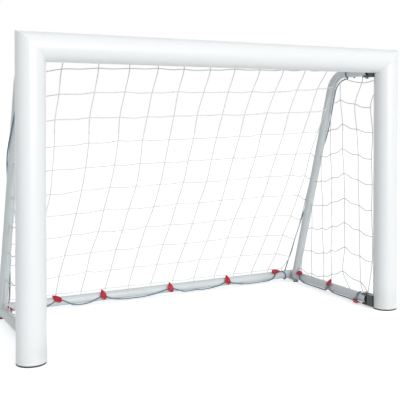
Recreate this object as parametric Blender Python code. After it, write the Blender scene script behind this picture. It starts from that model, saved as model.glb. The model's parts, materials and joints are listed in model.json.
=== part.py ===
"""Folding soccer goal: a front frame of three mitred tubes, two hinged side frames, a rear ground
tube and a net. The sides swing on vertical bolts behind the posts, and the rear tube goes with
them, parallel to the front. Metres, +Z up, -Y is the mouth. The pieces are laid out from the
middle of the front frame, and the whole is then moved so that the origin is the centre of its
footprint."""

import math

import bpy
import bmesh
import numpy as np
from mathutils import Vector

GAP = 0.0003  # between faces that touch

# Front frame
GOAL_WIDTH = 1.92  # over the posts
GOAL_HEIGHT = 1.32  # over the crossbar
POST_R = 0.06
POST_WALL = 0.003
FOOT_RIM = 0.007  # cap below each post
FOOT_CHAMFER = 0.0015
FOOT_PLUG = 0.03

# Side frames and rear ground tube
SIDE_INSET = 0.05  # hinge lines inside the posts' middles
HINGE_Y = 0.09  # front hinge bolts behind the front frame's middle
SIDE_LENGTH = 0.66  # front bolt to rear bolt
TUBE_R = 0.0225
TUBE_WALL = 0.0025
TUBE_END = 0.012  # tube past the middle of a bolt
BAR_BEHIND = 0.052  # rear tube's axis behind the rear bolts
BAR_PAST = 0.027  # rear tube past the hinge lines
STAY_DROP = 0.051  # level stretch below the crossbar's middle
STAY_BEND_Y = 0.375  # where the level and the sloping stretch would meet
STAY_BEND_R = 0.13
STAY_BEND_STEPS = 6
STAY_FOOT_RISE = 0.006  # stay's end above the base tube's axis

# Hinge hardware
BOLT_R = 0.006
BOLT_CLEARANCE = 0.0003
HEX_R = 0.0095
HEX_HEIGHT = 0.007
CORNER_HEX_HEIGHT = 0.006
THREAD_PAST = 0.0004
PLATE = 0.005
PLATE_RUNNING = 0.0005  # above and below a tube that turns between two plates
BRACKET_HALF = 0.018
BRACKET_PAST = 0.016
BRACKET_START_Y = 0.02
BRACKET_CLEAR = 0.003  # between the web and the corner of the tube that turns in front of it
LUG_HALF = 0.018
LUG_SADDLE = 0.0115  # lug's upstand under the rear tube
GLIDE_R = 0.015
GLIDE_BORE = 0.0115
GLIDE_HEIGHT = 0.0094

# End plugs
PLUG_RIM = 0.003
PLUG_DEPTH = 0.003
PLUG_CHAMFER = 0.0012

# Net, hooks, clips and lacing
TWINE_HALF = 0.0022
TWINE_THIN = 0.0014
BACK_CELLS = (13, 11)
SIDE_CELLS = (5, 10)
HEAD_Y = 0.069  # net's head line behind the crossbar's middle
HEAD_RISE = 0.032  # and above it
BACK_SAG = 0.035  # back net's middle inside the straight line from head to foot
BACK_RISE = 0.025  # its upper rows above evenly spaced ones
ROW_EASE = 0.6  # how high up that rise is greatest
EDGE_POWER = (5.5, 8.0)  # how late the back net turns to follow the left and the right stay
EDGE_LAG = 0.17  # how far the rows' ends slip down the stays, as a share of the way down
EDGE_EASE = (0.02, 0.6)  # how slowly the slip sets in below the head line, left and right
NET_CORNER_RISE = 0.0675  # where the back net leaves the stay, above the base tube's axis
NET_FRONT = 0.032  # side net's front edge behind the hinge bolt
HOOK_WIRE = 0.0022
HOOK_COUNT = 5
HOOK_STEP = 3  # net gaps from hook to hook
ROPE_R = 0.0035
ROPE_POINTS = 78
ROPE_STEPS = 5  # smooth steps from one point of a route to the next
ROPE_SLACK = 0.0011  # between the lacing and the tube it goes round
CLIP_WIRE = 0.0038
CLIP_HALF_LONG = 0.0205
CLIP_HALF_WIDE = 0.0095
CLIP_TAPER = 0.22
CLIP_SEAT = 0.0001  # between a clip and the lacing under it

# Facets
BIG_SIDES = 32
TUBE_SIDES = 16
SMALL_SIDES = 12
WIRE_SIDES = 6
CLIP_STEPS = 12

# Worked out from the sizes above
POST_X = GOAL_WIDTH / 2 - POST_R
BAR_Z = GOAL_HEIGHT - POST_R
SIDE_HALF = POST_X - SIDE_INSET  # hinge lines from the middle
STAY_TOP_Z = BAR_Z - STAY_DROP
HEAD_Z = BAR_Z + HEAD_RISE
BASE_Z = TUBE_R + GAP + PLATE + GAP + GLIDE_HEIGHT
REAR_PIN_Y = HINGE_Y + SIDE_LENGTH
REAR_Y = REAR_PIN_Y + BAR_BEHIND
DEPTH = POST_R + REAR_Y + TUBE_R
FRONT_Y = POST_R - DEPTH / 2
BOLT_HOLE = BOLT_R + BOLT_CLEARANCE
LACE_OUT = TUBE_R + ROPE_SLACK + ROPE_R  # lacing's middle from a tube's axis
CLIP_OUT = LACE_OUT + ROPE_R + CLIP_SEAT + CLIP_WIRE  # clip's middle from a tube's axis
TWINE_REACH = math.hypot(TWINE_HALF, TWINE_THIN)  # from a strand's middle to its corner
NET_EDGE_X = SIDE_HALF - LACE_OUT - ROPE_R - GAP - TWINE_REACH
NET_FOOT_Z = BASE_Z + TUBE_R + GAP + TWINE_HALF + TWINE_THIN / 2
HOOK_BEND = HOOK_WIRE + TWINE_REACH + GAP

# Clips and lacing are laid out on a side of this length and hinge lines this far from the middle.
# They keep their shares of the tubes if those change. Places on a side run from its front bolt.
LAID_LENGTH = 0.66
LAID_HALF = 0.85

# Red clips: place along the tube, degrees round it from the inner side upward, tilt in degrees
REAR_CLIPS = ((-0.565, 12, -50), (-0.321, 12, -10), (0.06, 12, -8), (0.417, 12, -6), (0.735, 45, 84))
SIDE_CLIPS = ((0.595, 45, 88), (0.311, 50, -28), (0.056, -42, 80))

# Lacing routes, chosen by hand: place along the tube, degrees round it, stand-off
REAR_ROUTE = (
    (-0.775, 8, 0), (-0.72, -30, 0), (-0.66, -62, 0.004), (-0.60, -20, 0), (-0.565, 12, 0),
    (-0.53, -18, 0), (-0.48, -62, 0.003), (-0.43, -70, 0.005), (-0.37, -30, 0.001), (-0.321, 12, 0),
    (-0.27, -38, 0), (-0.20, -66, 0.004), (-0.12, -72, 0.005), (-0.03, -40, 0.001), (0.06, 12, 0),
    (0.10, -24, 0), (0.15, -64, 0.004), (0.21, -56, 0.003), (0.27, -68, 0.005), (0.35, -34, 0),
    (0.417, 12, 0), (0.46, -26, 0), (0.53, -62, 0.004), (0.61, -58, 0.003), (0.68, -10, 0),
    (0.735, 45, 0), (0.775, 60, 0),
)
SIDE_ROUTE = (
    (0.038, -46, 0), (0.056, -42, 0), (0.10, -50, 0), (0.16, -66, 0.003), (0.23, -40, 0),
    (0.28, 10, 0), (0.311, 50, 0), (0.35, 0, 0), (0.40, -48, 0.001), (0.46, -58, 0.003),
    (0.52, -20, 0), (0.56, 35, 0), (0.595, 45, 0), (0.622, 46, 0),
)
STAY_ROUTE = ((0.045, 0), (0.10, 8), (0.2, -14), (0.32, 6), (0.45, -10), (0.58, 8), (0.7, -8),
              (0.8, -16), (0.88, -24), (0.94, -20))


def material(name, colour, roughness, metallic=0.0):
    made = bpy.data.materials.new(name)
    made.use_nodes = True
    shader = made.node_tree.nodes["Principled BSDF"]
    shader.inputs["Base Color"].default_value = (*colour, 1.0)
    shader.inputs["Roughness"].default_value = roughness
    shader.inputs["Metallic"].default_value = metallic
    made.diffuse_color = (*colour, 1.0)
    return made


def add_mesh(name, faces_of, group, finish, smooth_angle=math.radians(35)):
    """One closed mesh, with its material, under its group's empty."""
    shape = bmesh.new()
    faces_of(shape)
    bmesh.ops.recalc_face_normals(shape, faces=shape.faces[:])
    mesh = bpy.data.meshes.new(name)
    shape.to_mesh(mesh)
    shape.free()
    mesh.shade_smooth()
    mesh.set_sharp_from_angle(angle=smooth_angle)
    return add_object(name, mesh, group, finish)


def add_object(name, data, group, finish):
    made = bpy.data.objects.new(name, data)
    bpy.context.scene.collection.objects.link(made)
    if finish:
        data.materials.append(finish)
    if group:
        made.parent = group
        made.location = -Vector(group["from_front"])
    return made


def loft(name, rings, group, finish, ring_shaped=False):
    """A skin through rings of equal count, capped at its ends or, if ring_shaped, joined end to end."""

    def build(shape):
        loops = [[shape.verts.new(point) for point in ring] for ring in rings]
        count = len(loops[0])
        pairs = list(zip(loops, loops[1:]))
        if ring_shaped:
            pairs.append((loops[-1], loops[0]))
        else:
            shape.faces.new(loops[0][::-1])
            shape.faces.new(loops[-1])
        for first, second in pairs:
            for k in range(count):
                after = (k + 1) % count
                shape.faces.new((first[k], first[after], second[after], second[k]))

    return add_mesh(name, build, group, finish)


def ring(centre, along, side, radius, sides, plane=None):
    """A circle round the line along, cut by the plane whose normal is given."""
    along = Vector(along).normalized()
    side = Vector(side).normalized()
    other = along.cross(side)
    plane = Vector(plane) if plane else along
    points = []
    for k in range(sides):
        turn = 2 * math.pi * k / sides
        out = side * (radius * math.cos(turn)) + other * (radius * math.sin(turn))
        points.append(Vector(centre) + out - along * (out.dot(plane) / along.dot(plane)))
    return points


def rings_along(path, side, radius, sides, planes=(None, None)):
    path = [Vector(point) for point in path]
    made = []
    for k, point in enumerate(path):
        before = (point - path[k - 1]).normalized() if k else None
        after = (path[k + 1] - point).normalized() if k + 1 < len(path) else None
        if before is None:
            made.append(ring(point, after, side, radius, sides, planes[0]))
        elif after is None:
            made.append(ring(point, before, side, radius, sides, planes[1]))
        else:
            made.append(ring(point, before, side, radius, sides, before + after))
    return made


def hollow_tube(name, path, side, radius, wall, sides, group, finish, planes=(None, None)):
    outer = rings_along(path, side, radius, sides, planes)
    inner = rings_along(path, side, radius - wall, sides, planes)
    return loft(name, outer + inner[::-1], group, finish, ring_shaped=True)


def turned(name, base, axis, profile, group, finish, sides=TUBE_SIDES, ring_shaped=False):
    """A solid of revolution: profile is (distance along axis, radius) from base."""
    axis = Vector(axis)
    side = axis.orthogonal()
    rings = [ring(Vector(base) + axis * reach, axis, side, radius, sides) for reach, radius in profile]
    return loft(name, rings, group, finish, ring_shaped)


def hexagon(centre, radius):
    """Twelve points on a hexagon, so that it joins a ring of twelve."""
    points = []
    for k in range(SMALL_SIDES):
        turn = 2 * math.pi * k / SMALL_SIDES
        reach = radius if k % 2 == 0 else radius * math.cos(math.pi / 6)
        points.append(Vector(centre) + Vector((reach * math.cos(turn), reach * math.sin(turn), 0)))
    return points


def circle(centre, radius):
    return ring(centre, (0, 0, 1), (1, 0, 0), radius, SMALL_SIDES)


def bolt(name, x, y, head_z, end_z, height, group):
    """A hexagon bolt. Its head lies beyond head_z, on the side away from end_z."""
    away = math.copysign(height, head_z - end_z)
    rings = [
        hexagon((x, y, head_z + away), HEX_R),
        hexagon((x, y, head_z), HEX_R),
        circle((x, y, head_z), BOLT_R),
        circle((x, y, end_z), BOLT_R),
    ]
    return loft(name, rings, group, ZINC)


def nut(name, x, y, low_z, height, group):
    rings = [
        hexagon((x, y, low_z), HEX_R),
        hexagon((x, y, low_z + height), HEX_R),
        circle((x, y, low_z + height), BOLT_HOLE),
        circle((x, y, low_z), BOLT_HOLE),
    ]
    return loft(name, rings, group, ZINC, ring_shaped=True)


def prism(name, outline, x_low, x_high, group, finish):
    """A side view of (y, z) points, drawn out from x_low to x_high."""
    rings = [[Vector((x, y, z)) for y, z in outline] for x in (x_low, x_high)]
    return loft(name, rings, group, finish)


def cut_round(target, start, end, radius, sides):
    """Takes a round bar from start to end out of the target."""
    start, end = Vector(start), Vector(end)
    along = end - start
    rings = [ring(point, along, along.orthogonal(), radius, sides) for point in (start, end)]
    cutter = loft(target.name + "_cutter", rings, target.parent, None)
    cutter.hide_render = True
    cutter.display_type = "WIRE"
    hole = target.modifiers.new("hole", "BOOLEAN")
    hole.object = cutter


def drill(target, x, y, low_z, high_z):
    cut_round(target, (x, y, low_z), (x, y, high_z), BOLT_HOLE, SMALL_SIDES)


def plug(name, end, outward, group):
    """A cap in a tube's open end; outward points out of the tube."""
    rim_r = TUBE_R - GAP
    inner_r = TUBE_R - TUBE_WALL - GAP
    profile = (
        (GAP + PLUG_RIM, rim_r - PLUG_CHAMFER),
        (GAP + PLUG_RIM - PLUG_CHAMFER, rim_r),
        (GAP, rim_r),
        (GAP, inner_r),
        (-PLUG_DEPTH, inner_r),
    )
    return turned(name, end, outward, profile, group, BLACK)


def smoothed(rows, steps):
    """Rows on a smooth curve through the given ones, with this many steps from one to the next."""
    given = np.array([tuple(row) for row in rows])
    padded = np.vstack([2 * given[0] - given[1], given, 2 * given[-1] - given[-2]])
    fine = []
    for k in range(1, len(padded) - 2):
        a, b, c, d = padded[k - 1 : k + 3]
        for t in np.linspace(0, 1, steps, endpoint=False):
            bend = 2 * a - 5 * b + 4 * c - d + t * (3 * (b - c) + d - a)
            fine.append(b + 0.5 * t * (c - a + t * bend))
    return np.array(fine + [given[-1]])


def evenly(points, count):
    reach = np.concatenate([[0], np.cumsum(np.linalg.norm(np.diff(points, axis=0), axis=1))])
    wanted = np.linspace(0, reach[-1], count)
    return [Vector(np.interp(w, reach, points[:, k]) for k in range(3)) for w in wanted]


def rope(name, route, group):
    curve = bpy.data.curves.new(name, "CURVE")
    curve.dimensions = "3D"
    curve.bevel_depth = ROPE_R
    curve.bevel_resolution = 2
    curve.use_fill_caps = True
    line = curve.splines.new("POLY")
    points = evenly(smoothed(route, ROPE_STEPS), ROPE_POINTS)
    line.points.add(len(points) - 1)
    for place, point in zip(line.points, points):
        place.co = (*point, 1.0)
    line.use_smooth = True
    return add_object(name, curve, group, ROPE_BLUE)


def net(name, place, cells, group):
    """A square mesh as one body. place(u, v) gives the knot at those shares across and down."""
    across, down = cells
    knots = [[place(i / across, j / down) for j in range(down + 1)] for i in range(across + 1)]

    def corner(i, j, right, below, back):
        """One corner of the block at a knot; right, below and back are -1 or 1."""
        along = knots[min(i + 1, across)][j] - knots[max(i - 1, 0)][j]
        drop = knots[i][min(j + 1, down)] - knots[i][max(j - 1, 0)]
        along.normalize()
        drop.normalize()
        normal = along.cross(drop).normalized()
        flat = along * (right * TWINE_HALF) + drop * (below * TWINE_HALF)
        return knots[i][j] + flat + normal * (back * TWINE_THIN)

    def build(shape):
        made = {}
        for i in range(across + 1):
            for j in range(down + 1):
                for key in ((a, b, c) for a in (-1, 1) for b in (-1, 1) for c in (-1, 1)):
                    made[(i, j, *key)] = shape.verts.new(corner(i, j, *key))

        def face(*keys):
            shape.faces.new([made[key] for key in keys])

        def wall(first, second):
            face((*first, -1), (*second, -1), (*second, 1), (*first, 1))

        for i in range(across + 1):
            for j in range(down + 1):
                for c in (-1, 1):
                    face((i, j, -1, -1, c), (i, j, 1, -1, c), (i, j, 1, 1, c), (i, j, -1, 1, c))
                    if i < across:
                        face((i, j, 1, -1, c), (i + 1, j, -1, -1, c),
                             (i + 1, j, -1, 1, c), (i, j, 1, 1, c))
                    if j < down:
                        face((i, j, -1, 1, c), (i, j, 1, 1, c),
                             (i, j + 1, 1, -1, c), (i, j + 1, -1, -1, c))
                if i < across:
                    for b in (-1, 1):
                        wall((i, j, 1, b), (i + 1, j, -1, b))
                if j < down:
                    for a in (-1, 1):
                        wall((i, j, a, 1), (i, j + 1, a, -1))
        for i in range(across + 1):
            wall((i, 0, -1, -1), (i, 0, 1, -1))
            wall((i, down, -1, 1), (i, down, 1, 1))
        for j in range(down + 1):
            wall((0, j, -1, -1), (0, j, -1, 1))
            wall((across, j, 1, -1), (across, j, 1, 1))

    return add_mesh(name, build, group, TWINE)


def group_at(name, x, y, parent=None):
    """An empty on a joint's axis; from_front is its place from the middle of the front frame."""
    made = bpy.data.objects.new(name, None)
    bpy.context.scene.collection.objects.link(made)
    made["from_front"] = (x, y, 0.0)
    if parent:
        made.parent = parent
        made.location = Vector((x, y, 0)) - Vector(parent["from_front"])
    else:
        made.location = (x, y + FRONT_Y, 0)
    return made


def stay_path(side_x):
    """The stay's centre line, from its front end over the bend to its foot on the base tube."""
    start = Vector((side_x, HINGE_Y - TUBE_END, STAY_TOP_Z))
    corner = Vector((side_x, STAY_BEND_Y, STAY_TOP_Z))
    foot = Vector((side_x, REAR_PIN_Y, BASE_Z + STAY_FOOT_RISE))
    level = (corner - start).normalized()
    slope = (foot - corner).normalized()
    turn = level.angle(slope)
    reach = STAY_BEND_R * math.tan(turn / 2)
    first = corner - level * reach
    centre = first + Vector((0, 0, -STAY_BEND_R))
    path = [start]
    for k in range(STAY_BEND_STEPS + 1):
        angle = turn * k / STAY_BEND_STEPS
        path.append(centre + Vector((0, math.sin(angle), math.cos(angle))) * STAY_BEND_R)
    path.append(foot)
    return path


def offset_in_plane(path, distance):
    """The path moved towards the inside of its bend."""
    moved = []
    for k, point in enumerate(path):
        along = (path[min(k + 1, len(path) - 1)] - path[max(k - 1, 0)]).normalized()
        moved.append(point + Vector((0, along.z, -along.y)) * distance)
    return moved


def at_share(path, share):
    """The point at this share of a path's length."""
    lengths = [(b - a).length for a, b in zip(path, path[1:])]
    left = share * sum(lengths)
    for (a, b), length in zip(zip(path, path[1:]), lengths):
        if left <= length:
            return a.lerp(b, left / length)
        left -= length
    return path[-1].copy()


def front_frame(group):
    corner = {-1: Vector((-POST_X, 0, BAR_Z)), 1: Vector((POST_X, 0, BAR_Z))}
    for side, name in SIDES:
        mitre = Vector((-side, 0, 1))
        foot = (side * POST_X, 0, FOOT_RIM + GAP)
        top = corner[side] - Vector((0, 0, GAP * math.sqrt(2)))
        hollow_tube(f"{name}_post", [foot, top], (1, 0, 0), POST_R, POST_WALL, BIG_SIDES,
                    group, WHITE, (None, mitre))
        inner = POST_R - POST_WALL - GAP
        profile = ((0, POST_R - FOOT_CHAMFER), (FOOT_CHAMFER, POST_R), (FOOT_RIM, POST_R),
                   (FOOT_RIM, inner), (FOOT_PLUG, inner))
        turned(f"{name}_foot_cap", (side * POST_X, 0, 0), (0, 0, 1), profile, group, BLACK, BIG_SIDES)
    hollow_tube("crossbar", [corner[-1], corner[1]], (0, 1, 0), POST_R, POST_WALL, BIG_SIDES,
                group, WHITE, ((1, 0, 1), (-1, 0, 1)))


def hinge(name, side, middle_z, group):
    """A C-shaped bracket behind the post with its bolt and nut."""
    x = side * SIDE_HALF
    inside = TUBE_R + PLATE_RUNNING
    outside = inside + PLATE
    web = HINGE_Y - math.hypot(TUBE_R, TUBE_END) - BRACKET_CLEAR
    end = HINGE_Y + BRACKET_PAST
    outline = (
        (BRACKET_START_Y, middle_z - outside), (end, middle_z - outside),
        (end, middle_z - inside), (web, middle_z - inside),
        (web, middle_z + inside), (end, middle_z + inside),
        (end, middle_z + outside), (BRACKET_START_Y, middle_z + outside),
    )
    bracket = prism(f"{name}_bracket", outline, x - BRACKET_HALF, x + BRACKET_HALF, group, BLACK)
    post_x = side * POST_X
    cut_round(bracket, (post_x, 0, -POST_R), (post_x, 0, GOAL_HEIGHT + POST_R), POST_R + GAP, BIG_SIDES)
    cut_round(bracket, (-GOAL_WIDTH, 0, BAR_Z), (GOAL_WIDTH, 0, BAR_Z), POST_R + GAP, BIG_SIDES)
    drill(bracket, x, HINGE_Y, middle_z - 2 * outside, middle_z + 2 * outside)
    nut_z = middle_z - outside - GAP - HEX_HEIGHT
    bolt(f"{name}_bolt", x, HINGE_Y, middle_z + outside + GAP, nut_z - THREAD_PAST, HEX_HEIGHT, group)
    nut(f"{name}_nut", x, HINGE_Y, nut_z, HEX_HEIGHT, group)


def back_place(u, v):
    """The back net: hung from crossbar to ground tube, and along the stays at its sides."""
    share = 2 * u - 1
    side = 0 if share < 0 else 1
    head = Vector((0, HEAD_Y, HEAD_Z))
    foot = Vector((0, REAR_Y, NET_FOOT_Z))
    middle = head.lerp(foot, v)
    middle.y -= BACK_SAG * math.sin(math.pi * v)
    middle.z += BACK_RISE * math.sin(math.pi * v**ROW_EASE)
    stay = [head] + [Vector((0, p.y, p.z)) for p in stay_path(0)[1:-1]]
    stay += [Vector((0, REAR_PIN_Y - TUBE_R, BASE_Z + NET_CORNER_RISE)), foot]
    edge = at_share(stay, v + EDGE_LAG * v ** EDGE_EASE[side] * (1 - v))
    point = middle.lerp(edge, abs(share) ** EDGE_POWER[side])
    point.x = share * NET_EDGE_X
    return point


def net_hooks(group):
    """Wire hooks behind the crossbar, each round the net's head line midway between two knots."""
    out = (Vector((0, HEAD_Y, HEAD_Z)) - Vector((0, 0, BAR_Z))).normalized()
    up = Vector((1, 0, 0)).cross(out)
    first = (BACK_CELLS[0] - 1 - (HOOK_COUNT - 1) * HOOK_STEP) // 2
    for k in range(HOOK_COUNT):
        share = (first + k * HOOK_STEP + 0.5) / BACK_CELLS[0]
        x = (2 * share - 1) * NET_EDGE_X
        root = Vector((x, 0, BAR_Z)) + out * (POST_R + GAP)
        line = Vector((x, HEAD_Y, HEAD_Z))
        path = [root - up * HOOK_BEND]
        for degrees in range(-90, 91, 30):
            turn = math.radians(degrees)
            path.append(line + up * (HOOK_BEND * math.sin(turn)) + out * (HOOK_BEND * math.cos(turn)))
        rings = rings_along(path, (1, 0, 0), HOOK_WIRE, WIRE_SIDES)
        loft(f"net_hook_{k + 1}", rings, group, WHITE_PLASTIC)


def tube_point(along, degrees, distance, side_x=None):
    """A point round the rear tube or, with side_x, round that side's base tube."""
    turn = math.radians(degrees)
    inward = distance * math.cos(turn)
    z = BASE_Z + distance * math.sin(turn)
    if side_x is None:
        return Vector((along * SIDE_HALF / LAID_HALF, REAR_Y - inward, z))
    y = HINGE_Y + along * SIDE_LENGTH / LAID_LENGTH
    return Vector((side_x - math.copysign(inward, side_x), y, z))


def clip(name, centre, axis_point, along, tilt, group):
    """A red link that lies on the lacing; tilt turns it on the tube's surface."""
    normal = (centre - axis_point).normalized()
    along = Vector(along)
    across = normal.cross(along)
    turn = math.radians(tilt)
    long_axis = across * math.cos(turn) + along * math.sin(turn)
    wide_axis = along * math.cos(turn) - across * math.sin(turn)
    rings = []
    for k in range(CLIP_STEPS):
        t = 2 * math.pi * k / CLIP_STEPS
        wide = CLIP_HALF_WIDE * (1 - CLIP_TAPER * math.sin(t))
        point = centre + long_axis * (CLIP_HALF_LONG * math.sin(t)) + wide_axis * (wide * math.cos(t))
        heading = long_axis * (CLIP_HALF_LONG * math.cos(t)) - wide_axis * (wide * math.sin(t))
        rings.append(ring(point, heading, normal, CLIP_WIRE, WIRE_SIDES))
    loft(name, rings, group, RED, ring_shaped=True)


def side_frame(side, name, group):
    x = side * SIDE_HALF
    front = Vector((x, HINGE_Y - TUBE_END, BASE_Z))
    rear = Vector((x, REAR_PIN_Y + TUBE_END, BASE_Z))
    base = hollow_tube(f"{name}_base_tube", [front, rear], (1, 0, 0), TUBE_R, TUBE_WALL, TUBE_SIDES,
                       group, GREY_WHITE)
    drill(base, x, HINGE_Y, 0, 2 * BASE_Z)
    drill(base, x, REAR_PIN_Y, 0, 2 * BASE_Z)
    path = stay_path(x)
    stay = hollow_tube(f"{name}_stay", path, (1, 0, 0), TUBE_R, TUBE_WALL, TUBE_SIDES, group, GREY_WHITE)
    cut_round(stay, front, rear + Vector((0, POST_R, 0)), TUBE_R + GAP, TUBE_SIDES)
    drill(stay, x, HINGE_Y, STAY_TOP_Z - 2 * TUBE_R, STAY_TOP_Z + 2 * TUBE_R)
    plug(f"{name}_stay_plug", path[0], (0, -1, 0), group)
    plug(f"{name}_base_front_plug", front, (0, -1, 0), group)
    plug(f"{name}_base_rear_plug", rear, (0, 1, 0), group)
    for k, (along, degrees, tilt) in enumerate(SIDE_CLIPS):
        centre = tube_point(along, degrees, CLIP_OUT, x)
        clip(f"{name}_clip_{k + 1}", centre, tube_point(along, 0, 0, x), (0, 1, 0), tilt, group)
    side_net(name, x, path, group)
    route = [tube_point(along, degrees, LACE_OUT + max(off, 0), x)
             for along, degrees, off in smoothed(SIDE_ROUTE, ROPE_STEPS)]
    upward = path[::-1]
    for share, degrees in smoothed(STAY_ROUTE, ROPE_STEPS):
        turn = math.radians(degrees)
        on_axis = at_share(upward, share)
        ahead = (at_share(upward, share + 0.01) - on_axis).normalized()
        under = Vector((0, -ahead.z, ahead.y))
        inner = Vector((-side, 0, 0))
        route.append(on_axis + inner * (LACE_OUT * math.cos(turn)) - under * (LACE_OUT * math.sin(turn)))
    rope(f"{name}_lacing", route, group)


def side_net(name, x, path, group):
    """A flat panel in the side frame, from its front edge to the stay's inner side."""
    inner = offset_in_plane(path, TUBE_R + GAP + TWINE_HALF + GAP)
    low = BASE_Z + TUBE_R + GAP + TWINE_HALF
    bend_end = inner[1]
    slope = (inner[-1] - inner[-2]).normalized()
    foot = inner[-2] + slope * ((low - inner[-2].z) / slope.z)
    rear_edge = [foot] + inner[-2:0:-1]
    front_y = HINGE_Y + NET_FRONT

    def place(u, v):
        front = Vector((x, front_y, low)).lerp(Vector((x, front_y, bend_end.z)), v)
        return front.lerp(at_share(rear_edge, v), u)

    net(f"{name}_net", place, SIDE_CELLS, group)


def rear_tube(group):
    end_x = SIDE_HALF + BAR_PAST
    ends = [Vector((-end_x, REAR_Y, BASE_Z)), Vector((end_x, REAR_Y, BASE_Z))]
    hollow_tube("rear_ground_tube", ends, (0, 1, 0), TUBE_R, TUBE_WALL, TUBE_SIDES, group, GREY_WHITE)
    lug_low = GLIDE_HEIGHT + GAP
    for side, name in SIDES:
        x = side * SIDE_HALF
        plug(f"{name}_bar_plug", ends[0 if side < 0 else 1], (side, 0, 0), group)
        outline = (
            (REAR_PIN_Y - LUG_HALF, lug_low), (REAR_Y + LUG_HALF, lug_low),
            (REAR_Y + LUG_HALF, lug_low + LUG_SADDLE), (REAR_Y - LUG_HALF, lug_low + LUG_SADDLE),
            (REAR_Y - LUG_HALF, lug_low + PLATE), (REAR_PIN_Y - LUG_HALF, lug_low + PLATE),
        )
        lug = prism(f"{name}_corner_lug", outline, x - LUG_HALF, x + LUG_HALF, group, GREY_WHITE)
        beyond = Vector((GOAL_WIDTH, 0, 0))
        cut_round(lug, ends[0] - beyond, ends[1] + beyond, TUBE_R + GAP, TUBE_SIDES)
        drill(lug, x, REAR_PIN_Y, 0, BASE_Z)
        glide_profile = ((0, GLIDE_BORE), (0, GLIDE_R), (GLIDE_HEIGHT, GLIDE_R), (GLIDE_HEIGHT, GLIDE_BORE))
        turned(f"{name}_glide", (x, REAR_PIN_Y, 0), (0, 0, 1), glide_profile, group, BLACK,
               TUBE_SIDES, ring_shaped=True)
        nut_z = BASE_Z + TUBE_R + GAP
        bolt(f"{name}_corner_bolt", x, REAR_PIN_Y, GLIDE_HEIGHT, nut_z + HEX_HEIGHT + THREAD_PAST,
             CORNER_HEX_HEIGHT, group)
        nut(f"{name}_corner_nut", x, REAR_PIN_Y, nut_z, HEX_HEIGHT, group)
    for k, (along, degrees, tilt) in enumerate(REAR_CLIPS):
        centre = tube_point(along, degrees, CLIP_OUT)
        clip(f"rear_clip_{k + 1}", centre, tube_point(along, 0, 0), (1, 0, 0), tilt, group)
    route = [tube_point(along, degrees, LACE_OUT + max(off, 0))
             for along, degrees, off in smoothed(REAR_ROUTE, ROPE_STEPS)]
    rope("rear_lacing", route, group)


SIDES = ((-1, "left"), (1, "right"))

for old in list(bpy.data.objects):
    bpy.data.objects.remove(old)

WHITE = material("white_powder_coat", (0.87, 0.88, 0.88), 0.3)
GREY_WHITE = material("grey_white_powder_coat", (0.66, 0.69, 0.69), 0.38)
BLACK = material("black_plastic", (0.03, 0.03, 0.032), 0.5)
ZINC = material("zinc_plate", (0.55, 0.56, 0.57), 0.35, 0.9)
TWINE = material("white_twine", (0.74, 0.74, 0.73), 0.8)
ROPE_BLUE = material("blue_grey_rope", (0.12, 0.21, 0.28), 0.75)
RED = material("red_plastic", (0.42, 0.015, 0.04), 0.3)
WHITE_PLASTIC = material("white_plastic", (0.8, 0.8, 0.79), 0.45)

goal = group_at("goal", 0, 0)
front_frame(goal)
for side, name in SIDES:
    hinge(f"{name}_upper", side, STAY_TOP_Z, goal)
    hinge(f"{name}_lower", side, BASE_Z, goal)
net_hooks(goal)
net("back_net", back_place, BACK_CELLS, goal)
frames = {}
for side, name in SIDES:
    frames[name] = group_at(f"{name}_side_pivot", side * SIDE_HALF, HINGE_Y, goal)
    side_frame(side, name, frames[name])
rear_pivot = group_at("rear_bar_pivot", -SIDE_HALF, REAR_PIN_Y, frames["left"])
rear_tube(rear_pivot)
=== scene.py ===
"""Looks of the folding soccer goal: powder-coated tubes, knotted net, lacing, clips and hinges."""

import json
import math
import random

import bmesh
import bpy
from bpy.props import FloatProperty, FloatVectorProperty, IntProperty, PointerProperty
from mathutils import Matrix, Vector

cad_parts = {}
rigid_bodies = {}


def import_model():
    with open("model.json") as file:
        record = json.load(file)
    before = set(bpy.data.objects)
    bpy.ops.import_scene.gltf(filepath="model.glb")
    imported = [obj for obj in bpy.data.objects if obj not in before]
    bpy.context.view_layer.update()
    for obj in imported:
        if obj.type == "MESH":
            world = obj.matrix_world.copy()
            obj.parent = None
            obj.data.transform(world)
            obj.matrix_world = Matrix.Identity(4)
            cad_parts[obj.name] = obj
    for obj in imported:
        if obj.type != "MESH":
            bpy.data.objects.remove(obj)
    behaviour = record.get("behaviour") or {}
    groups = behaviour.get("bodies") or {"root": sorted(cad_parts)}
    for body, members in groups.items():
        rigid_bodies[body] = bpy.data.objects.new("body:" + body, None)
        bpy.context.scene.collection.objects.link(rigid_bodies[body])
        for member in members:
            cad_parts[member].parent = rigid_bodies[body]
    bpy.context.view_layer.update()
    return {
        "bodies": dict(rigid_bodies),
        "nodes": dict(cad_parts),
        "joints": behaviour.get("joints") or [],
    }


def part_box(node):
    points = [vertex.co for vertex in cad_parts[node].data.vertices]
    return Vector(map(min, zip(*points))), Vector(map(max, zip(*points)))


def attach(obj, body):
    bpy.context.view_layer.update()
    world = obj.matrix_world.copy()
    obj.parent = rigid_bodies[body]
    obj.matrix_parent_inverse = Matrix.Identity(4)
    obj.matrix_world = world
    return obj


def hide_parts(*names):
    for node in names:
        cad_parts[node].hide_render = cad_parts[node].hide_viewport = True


bl_info = {
    "name": "Folding Soccer Goal",
    "version": (1, 0, 0),
    "blender": (4, 5, 0),
    "location": "3D View > Sidebar > Goal",
    "description": "Dresses the frame of a folding soccer goal",
    "category": "Object",
}

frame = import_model()


def middle(node):
    low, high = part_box(node)
    return (low + high) / 2


def joint_place(name):
    """Where a joint's axis stands."""
    return Vector(next(joint["pos_m"] for joint in frame["joints"] if joint["name"] == name))


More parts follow.
